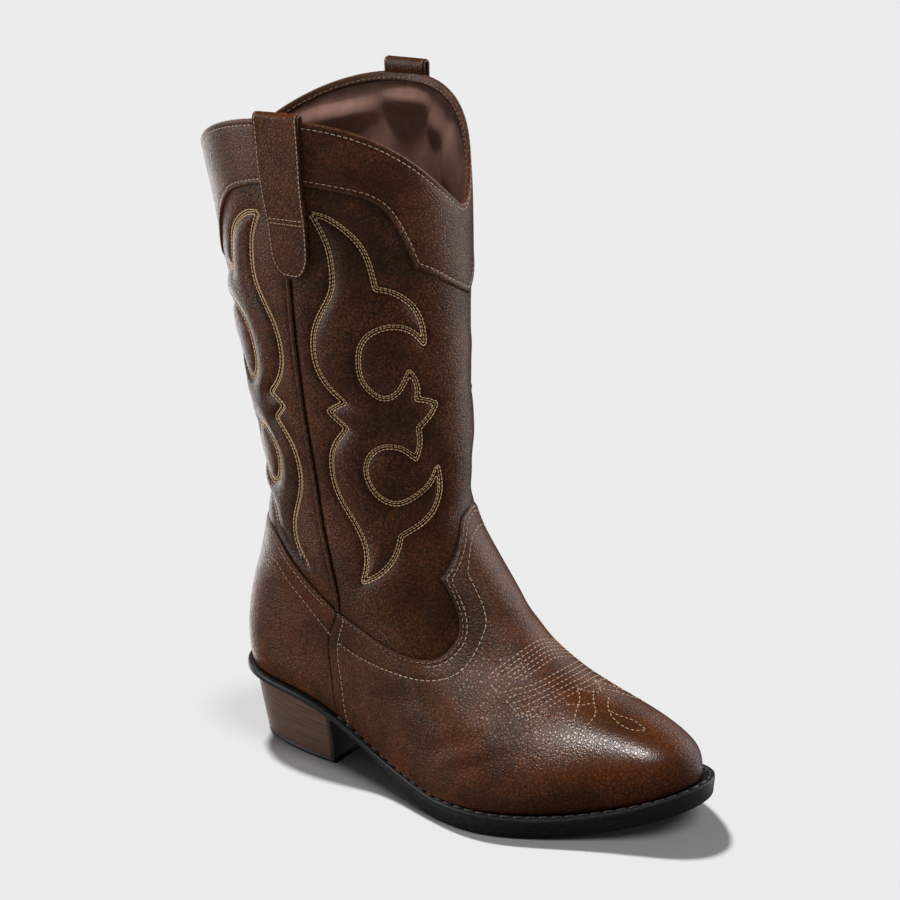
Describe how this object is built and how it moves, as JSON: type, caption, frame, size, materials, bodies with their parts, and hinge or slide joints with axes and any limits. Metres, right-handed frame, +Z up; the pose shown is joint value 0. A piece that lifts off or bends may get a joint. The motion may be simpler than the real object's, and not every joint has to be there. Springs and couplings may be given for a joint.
{
  "type": "western boot",
  "caption": "Pull-on western boot for the right foot: stitched leather upper with scalloped collar and pull straps on a welted rubber sole with a stacked heel",
  "frame": {"origin": "on the floor, under the middle of the boot's bounding box", "axes": "+X points from heel to toe, -Y to the outer (lateral) side of the foot, +Z up along the shaft; the boot stands on heel and forefoot at z = 0"},
  "size_m": [0.2777, 0.1144, 0.3467],
  "materials": {
    "upper_leather": "brown pebbled leather of the shaft, burnished, soft gloss",
    "vamp_leather": "brown pebbled leather of the overlays, burnished, soft gloss",
    "black_rubber": "black moulded rubber, satin",
    "heel_stack": "stacked brown leatherboard with fine level lines",
    "insole_cloth": "dull brown cloth"
  },
  "bodies": {
    "root": {"upper": "upper_leather", "vamp": "vamp_leather", "counter": "vamp_leather", "collar_band": "vamp_leather", "pull_strap_outer": "vamp_leather", "pull_strap_inner": "vamp_leather", "side_piping_outer": "vamp_leather", "side_piping_inner": "vamp_leather", "welt": "black_rubber", "outsole": "black_rubber", "heel_top_lift": "black_rubber", "heel_breast": "black_rubber", "heel_stack": "heel_stack", "insole": "insole_cloth"}
  },
  "joints": []
}
